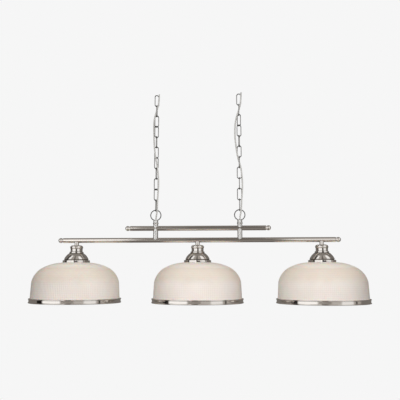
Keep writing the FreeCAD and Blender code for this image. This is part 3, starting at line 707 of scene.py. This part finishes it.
# painted shadows in the creases of the gallery's profile
CREASE_SHADOWS = (  # from and to in mm below the top, edge softness, darkness
    (9.4, 11.4, 0.7, 0.7),
    (18.6, 20.2, 0.7, 0.6),
    (23.8, 26.6, 0.9, 1),
    (43.4, 46, 0.3, 1),
)
# radii of the profile
BEAD, CROWN, CUP_NECK, BAND, BELL, FLANGE = (r * MM for r in (19.75, 12.245, 18.4, 21.5, 37.4, 41.5))

spun_nickel = nickel("spun_nickel", POLISHED, 0.09, 45, (1, 1, 16))
# painted shade in the creases of the profile: the plate is darker under the bead, over and under the band, and under
# the bell
build = Shade(spun_nickel.node_tree)
below_top = GALLERY_TOP_Z - build.node("ShaderNodeTexCoord", output="Object").part("Z")
painted_crease_shade = sum(below_top.between(low * MM, high * MM, edge * MM) * dark for low, high, edge, dark in CREASE_SHADOWS)
plate_with_crease_shade = painted_crease_shade.blend((0.75, 0.715, 0.68), (0.3, 0.28, 0.255))
drive(spun_nickel.node_tree.nodes["Principled BSDF"], "Base Color", plate_with_crease_shade)
for side, lamp_x in LAMP_PLACES.items():
    bm = bmesh.new()
    top = GALLERY_TOP_Z
    step = (FLANGE - BELL) / 2
    bell_top, bell_foot = top - BELL_TOP, top - BELL_FOOT
    foot = top - GALLERY_HEIGHT
    via = (BELL - (BELL - BAND) * BELL_ARC_IN, bell_top - (bell_top - bell_foot) * BELL_ARC_DOWN)
    outlined(
        bm,
        (ROD_HOLE, top),
        (CROWN, top),
        ((BEAD - (BEAD - CROWN) * BEAD_UPPER_ARC_IN, top - BEAD_ARCS[0]), (BEAD, top - BEAD_MIDDLE)),
        ((BEAD - (BEAD - CUP_NECK) * BEAD_LOWER_ARC_IN, top - BEAD_ARCS[1]), (CUP_NECK, top - NECK_TOP)),
        (CUP_NECK, top - NECK_RING),
        (CUP_NECK, top - NECK_END),
        (BAND, top - NECK_FOOT),
        (BAND, bell_top),
        (BAND + GALLERY_WALL / 2, bell_top),
        (via, (BELL, bell_foot + GALLERY_GROOVE)),
        (BELL - GALLERY_GROOVE / 2, bell_foot + GALLERY_GROOVE / 2),
        (BELL, bell_foot),
        (BELL + step, bell_foot),
        ((FLANGE - step * STEP_ARC_IN, bell_foot - step * STEP_ARC_IN), (FLANGE, bell_foot - step)),
        (FLANGE, bell_foot - step - FLANGE_RING),
        (FLANGE, foot),
        (FLANGE - GALLERY_WALL, foot),
        (FLANGE - GALLERY_WALL, bell_foot - step),
        (BELL - 2 * GALLERY_WALL, bell_foot - step),
        (BELL - 2 * GALLERY_WALL, bell_foot + GALLERY_WALL),
        ((via[0] - GALLERY_WALL, via[1] - GALLERY_WALL), (BAND - GALLERY_WALL, bell_top - GALLERY_WALL)),
        (BAND - GALLERY_WALL, bell_top),
        (CUP_NECK - GALLERY_WALL, top - NECK_FOOT),
        (CUP_NECK - GALLERY_WALL, top - CUP_CORNER),
        (CUP_NECK - CUP_CORNER, top - GALLERY_WALL),
        (ROD_HOLE, top - GALLERY_WALL),
        arc_steps=10,
    )
    turned(bm, 96)
    moved(bm, lamp_x)
    finished(f"{side}_spun_cup", bm, spun_nickel, "fixture", "nickel", f"{side}_gallery", soft_edge=0.25 * MM)

# ---- Lampholders ----------------------------------------------------------------------------------------------
# A dark moulded holder on each nipple, with a shoulder that bears on the glass and a skirt through its hole.
HOLDER_TOP_Z = GALLERY_TOP_Z - GALLERY_WALL - SEAT
GLASS_TOP_Z = GALLERY_TOP_Z - GALLERY_HEIGHT - SEAT
HOLDER_SEAT_Z = GLASS_TOP_Z + SEAT
HOLDER_FOOT_Z = HOLDER_SEAT_Z - 15.5 * MM
LAMP_CAP_TOP_Z = HOLDER_FOOT_Z + 26 * MM
HOLDER_RADIUS = 19.5 * MM
HOLDER_HEAD = 15 * MM
HOLDER_HEAD_END, HOLDER_CONE_END = 21 * MM, 25 * MM  # below its top
HOLDER_SHOULDER = 26 * MM
HOLDER_SHOULDER_HEIGHT = 1.8 * MM
NIPPLE_HOLE = 5.05 * MM
NIPPLE_HOLE_DEPTH = 4 * MM
WIRE_HOLE = 3.5 * MM
LAMP_CAP = 13.2 * MM
LAMP_CAP_ROOM = 0.3 * MM

moulding, build, shader = new_material("holder_moulding", (0.05, 0.048, 0.045), 0.45)
speckle = build.node("ShaderNodeTexNoise", None, {"Scale": 900, "Detail": 2})
drive(shader, "Base Color", speckle.blend((0.035, 0.034, 0.032), (0.07, 0.067, 0.063)))
drive(shader, "Roughness", 0.36 + speckle * 0.18)
set_bump(shader, speckle, 0.2, 0.05 * MM)
for side, lamp_x in LAMP_PLACES.items():
    bm = bmesh.new()
    socket = LAMP_CAP + LAMP_CAP_ROOM
    outlined(
        bm,
        (NIPPLE_HOLE, HOLDER_TOP_Z),
        (HOLDER_HEAD, HOLDER_TOP_Z),
        (HOLDER_HEAD, HOLDER_TOP_Z - HOLDER_HEAD_END),
        (HOLDER_RADIUS, HOLDER_TOP_Z - HOLDER_CONE_END),
        (HOLDER_RADIUS, HOLDER_SEAT_Z + HOLDER_SHOULDER_HEIGHT),
        (HOLDER_SHOULDER, HOLDER_SEAT_Z + HOLDER_SHOULDER_HEIGHT),
        (HOLDER_SHOULDER, HOLDER_SEAT_Z),
        (HOLDER_RADIUS, HOLDER_SEAT_Z),
        (HOLDER_RADIUS, HOLDER_FOOT_Z),
        (socket, HOLDER_FOOT_Z),
        (socket, LAMP_CAP_TOP_Z + LAMP_CAP_ROOM),
        (WIRE_HOLE, LAMP_CAP_TOP_Z + LAMP_CAP_ROOM),
        (WIRE_HOLE, HOLDER_TOP_Z - NIPPLE_HOLE_DEPTH - SEAT),
        (NIPPLE_HOLE, HOLDER_TOP_Z - NIPPLE_HOLE_DEPTH - SEAT),
    )
    turned(bm, 64)
    moved(bm, lamp_x)
    finished(f"{side}_moulded_holder", bm, moulding, "fixture", "holder", f"{side}_lampholder", soft_edge=0.4 * MM)

# ---- Shade rings ----------------------------------------------------------------------------------------------
# Three moulded ring nuts, screwed up the holders' skirts under the glass; their edge is notched for the fingers.
GLASS_WALL = 3.2 * MM
RING_TOP_Z = GLASS_TOP_Z - GLASS_WALL - SEAT
RING_FOOT_Z = RING_TOP_Z - 5 * MM
RING_RADIUS = 27.5 * MM
RING_NOTCHES = 24
NOTCH_DEPTH = 1 * MM

rings = bmesh.new()
for lamp_x in LAMP_PLACES.values():
    bm = bmesh.new()
    bore = HOLDER_RADIUS + SEAT
    outlined(bm, (bore, RING_TOP_Z), (RING_RADIUS, RING_TOP_Z), (RING_RADIUS, RING_FOOT_Z), (bore, RING_FOOT_Z))
    turned(bm, RING_NOTCHES * 4)
    for vertex in bm.verts:
        notch = round(math.atan2(vertex.co.y, vertex.co.x) / math.tau * RING_NOTCHES * 4) % 4
        if vertex.co.xy.length > RING_RADIUS - SEAT and notch == 0:
            vertex.co.xy *= 1 - NOTCH_DEPTH / RING_RADIUS
    moved(bm, lamp_x)
    ring_mesh = bpy.data.meshes.new("ring")
    bm.to_mesh(ring_mesh)
    bm.free()
    rings.from_mesh(ring_mesh)
    bpy.data.meshes.remove(ring_mesh)
finished("notched_rings", rings, moulding, "fixture", "holder", "shade_rings", soft_edge=0.2 * MM)

# ---- Lamps ----------------------------------------------------------------------------------------------------
# A round opal lamp in each holder: a threaded metal cap and a frosted glass globe with a tapering neck.
GLOBE = 30 * MM
LAMP_LENGTH = 105 * MM
LAMP_NECK_ANGLE = math.radians(40)  # where the neck leaves the globe, over its widest place
CONTACT_SHARE = 0.35  # of the cap's radius
THREAD_TURNS = 5
THREAD_DEPTH = 0.9 * MM

opal, build, shader = new_material("opal_glass", (0.88, 0.87, 0.84), 0.35, Subsurface_Weight=0.2)
cloud = build.node("ShaderNodeTexNoise", None, {"Scale": 40, "Detail": 3})
drive(shader, "Base Color", cloud.blend((0.86, 0.85, 0.82), (0.9, 0.89, 0.86)))
drive(shader, "Roughness", 0.28 + cloud * 0.14)
lamp_cap_metal = nickel("lamp_cap_metal", (0.72, 0.7, 0.66), 0.28, 120, (1, 1, 8))
for side, lamp_x in LAMP_PLACES.items():
    bm = bmesh.new()
    tip = LAMP_CAP_TOP_Z - LAMP_LENGTH
    globe_z = tip + GLOBE
    contact = LAMP_CAP * CONTACT_SHARE
    neck = (GLOBE * math.cos(LAMP_NECK_ANGLE), globe_z + GLOBE * math.sin(LAMP_NECK_ANGLE))
    thread = []
    pitch = (LAMP_CAP_TOP_Z - contact - HOLDER_FOOT_Z - 6 * MM) / THREAD_TURNS
    for turn in range(THREAD_TURNS):
        crest = LAMP_CAP_TOP_Z - contact - turn * pitch
        thread.append(((LAMP_CAP - THREAD_DEPTH, crest - pitch / 2), (LAMP_CAP, crest - pitch)))
    outlined(
        bm,
        (0, LAMP_CAP_TOP_Z),
        (contact, LAMP_CAP_TOP_Z),
        (LAMP_CAP, LAMP_CAP_TOP_Z - contact),
        *thread,
        (LAMP_CAP, HOLDER_FOOT_Z),
        neck,
        ((GLOBE, globe_z), (GLOBE * math.sqrt(0.5), globe_z - GLOBE * math.sqrt(0.5))),
        ((GLOBE * math.sin(math.pi / 8), globe_z - GLOBE * math.cos(math.pi / 8)), (0, tip)),
        closed=False,
    )
    turned(bm, 64)
    for face in bm.faces:
        face.material_index = 1 if face.calc_center_median().z > HOLDER_FOOT_Z + SEAT else 0
    moved(bm, lamp_x)
    lamp = finished(f"{side}_round_lamp", bm, opal, "fixture", "bulb_glass", f"{side}_bulb", soft_edge=0)
    lamp.data.materials.append(lamp_cap_metal)

# ---- Glass shades ---------------------------------------------------------------------------------------------
# Milky pressed glass domes with fine upright ribs outside and faint rings pressed inside, which show through
# as a soft grid. The crown is flat, the shoulder round, and the wall nearly upright.
HOLE = HOLDER_RADIUS + 0.8 * MM
GLASS_FOOT_Z = GLASS_TOP_Z - 121.2 * MM
GLASS_EDGE = 135.6 * MM
GLASS_FLAT = 41.5 * MM  # radius of the crown
# arcs of the outside going down and of the inside going up, in mm: radius and depth of each one's middle and end
OUTER_ARCS = (((76, 5.8), (104, 18.1)), ((122.5, 36.4), (132.2, 59.5)))
INNER_START = (129.1, 60.4)
INNER_ARCS = (((119.9, 38.3), (102.3, 20.8)), ((75.3, 8.9), (41.5, 3.2)))
RIBS = 150
RIBS_START = 43 * MM  # radius
RIB_SHARE = 0.0045  # depth of a rib's valley as a share of the radius
RING_PITCH = 5.2 * MM
# levels below the crown of the painted light on the crown and the painted shade on the shoulder, and how far the clouds
# move them
CROWN_LIGHT_END, BODY_UNLIT_START = 17 * MM, 27 * MM
PAINTED_SHOULDER_SHADE, PAINTED_SHOULDER_SHADE_EDGE = (14 * MM, 62 * MM), 12 * MM
CLOUD_SHIFT = 12 * MM

milk_glass, build, shader = new_material(
    "milk_glass", (0.86, 0.78, 0.7), 0.3, Subsurface_Weight=0.2, Subsurface_Scale=0.012, Specular_IOR_Level=0.3
)
where = build.node("ShaderNodeTexCoord", output="Object")
height = where.part("Z")
pressed = build.math("SINE", height * (math.tau / RING_PITCH)) * 0.5 + 0.5
cloud = build.node("ShaderNodeTexNoise", None, {"Vector": where, "Scale": 14, "Detail": 4})
tone = pressed * 0.45 + cloud.rise(0.3, 0.7) * 0.55
below_top = GLASS_TOP_Z - height + cloud * CLOUD_SHIFT
shoulder_shade_mask = below_top.between(*PAINTED_SHOULDER_SHADE, PAINTED_SHOULDER_SHADE_EDGE)
milk = tone.blend((0.84, 0.75, 0.695), (0.925, 0.835, 0.78))
# painted shade: the shoulder is coloured darker, and warmer; painted light: the crown is coloured lighter
shoulder_painted_shade = tone.blend((0.77, 0.68, 0.6), (0.83, 0.735, 0.65))
crown_painted_light = tone.blend((0.9, 0.81, 0.745), (0.96, 0.87, 0.8))
under_crown = shoulder_shade_mask.blend(milk, shoulder_painted_shade)
whole = below_top.rise(CROWN_LIGHT_END, BODY_UNLIT_START).blend(crown_painted_light, under_crown)
drive(shader, "Base Color", whole)
drive(shader, "Roughness", 0.24 + cloud * 0.16)
set_bump(shader, pressed, 0.25, 0.25 * MM)


def below_crown(radius, depth):
    """The point of an outline at a radius and a depth in mm below the crown."""
    return radius * MM, GLASS_TOP_Z - depth * MM


for side, lamp_x in LAMP_PLACES.items():
    bm = bmesh.new()
    outlined(
        bm,
        (HOLE, GLASS_TOP_Z - GLASS_WALL),
        (HOLE, GLASS_TOP_Z),
        (GLASS_FLAT, GLASS_TOP_Z),
        *((below_crown(*middle), below_crown(*end)) for middle, end in OUTER_ARCS),
        (GLASS_EDGE, GLASS_FOOT_Z),
        (GLASS_EDGE - GLASS_WALL, GLASS_FOOT_Z),
        below_crown(*INNER_START),
        *((below_crown(*middle), below_crown(*end)) for middle, end in INNER_ARCS),
        arc_steps=12,
    )
    turned(bm, RIBS * 4)
    for vertex in bm.verts:
        radius = vertex.co.xy.length
        faces_out = vertex.normal.dot(Vector((vertex.co.x, vertex.co.y, radius * 0.8))) >= 0
        if faces_out and radius > RIBS_START:
            valley = round(math.atan2(vertex.co.y, vertex.co.x) / math.tau * RIBS * 4) % 4
            depth = (0, 0.5, 1, 0.5)[valley] * RIB_SHARE
            vertex.co.xy *= 1 - depth
    moved(bm, lamp_x)
    finished(f"{side}_ribbed_dome", bm, milk_glass, "fixture", "shade_glass", f"{side}_glass_shade", soft_edge=0)

# ---- Rim bands ------------------------------------------------------------------------------------------------
# A rolled nickel band round each dome's edge: a bead at top and bottom, a flat between and a lip under the glass.
RIM_RADIUS = 140 * MM
RIM_FOOT_Z = -651.0 * MM
RIM_TOP_Z = RIM_FOOT_Z + 14 * MM
RIM_BEAD = 3.6 * MM
RIM_FLAT = RIM_RADIUS - 1.6 * MM
RIM_INSIDE = GLASS_EDGE + 0.2 * MM
LIP_RADIUS = RIM_RADIUS - 9.5 * MM
LIP_THICKNESS = 1 * MM

rim_nickel = nickel("rim_nickel", (0.8, 0.76, 0.72), 0.08, 70, (1, 1, 12))
for side, lamp_x in LAMP_PLACES.items():
    bm = bmesh.new()
    outlined(
        bm,
        (RIM_INSIDE, RIM_TOP_Z),
        (RIM_FLAT, RIM_TOP_Z),
        ((RIM_RADIUS, RIM_TOP_Z - RIM_BEAD / 2), (RIM_FLAT, RIM_TOP_Z - RIM_BEAD)),
        (RIM_FLAT, RIM_FOOT_Z + RIM_BEAD),
        ((RIM_RADIUS, RIM_FOOT_Z + RIM_BEAD / 2), (RIM_FLAT, RIM_FOOT_Z)),
        (LIP_RADIUS, RIM_FOOT_Z),
        (LIP_RADIUS, RIM_FOOT_Z + LIP_THICKNESS),
        (RIM_INSIDE, RIM_FOOT_Z + LIP_THICKNESS),
    )
    turned(bm, 240)
    moved(bm, lamp_x)
    finished(f"{side}_rolled_rim", bm, rim_nickel, "fixture", "nickel", f"{side}_rim_band", soft_edge=0)

# ---- Rods, nipples, slugs and wires inside --------------------------------------------------------------------
# Zinc-plated threaded rods and slugs clamp the parts together, and insulated wires run through them.
zinc, build, shader = new_material("zinc_plate", (0.62, 0.61, 0.58), 0.35, 1.0)
where = build.node("ShaderNodeTexCoord", output="Object")
thread = build.math("SINE", where.part("Z") * (math.tau / MM)) * 0.5 + 0.5
bloom = build.node("ShaderNodeTexNoise", None, {"Vector": where, "Scale": 160, "Detail": 3})
drive(shader, "Base Color", bloom.blend((0.52, 0.52, 0.5), (0.7, 0.69, 0.64)))
drive(shader, "Roughness", 0.3 + bloom * 0.2)
set_bump(shader, thread, 0.6, 0.3 * MM)
insulation, build, shader = new_material("wire_insulation", (0.7, 0.7, 0.68), 0.4)
grain = build.node("ShaderNodeTexNoise", None, {"Scale": 300, "Detail": 2})
drive(shader, "Base Color", grain.blend((0.62, 0.62, 0.6), (0.76, 0.76, 0.74)))
drive(shader, "Roughness", 0.34 + grain * 0.14)
for node, finish in (
    ("chain_rods", zinc),
    ("lamp_nipples", zinc),
    ("bar_slugs", zinc),
    ("inner_wires", insulation),
):
    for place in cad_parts[node].material_slots:
        place.material = finish
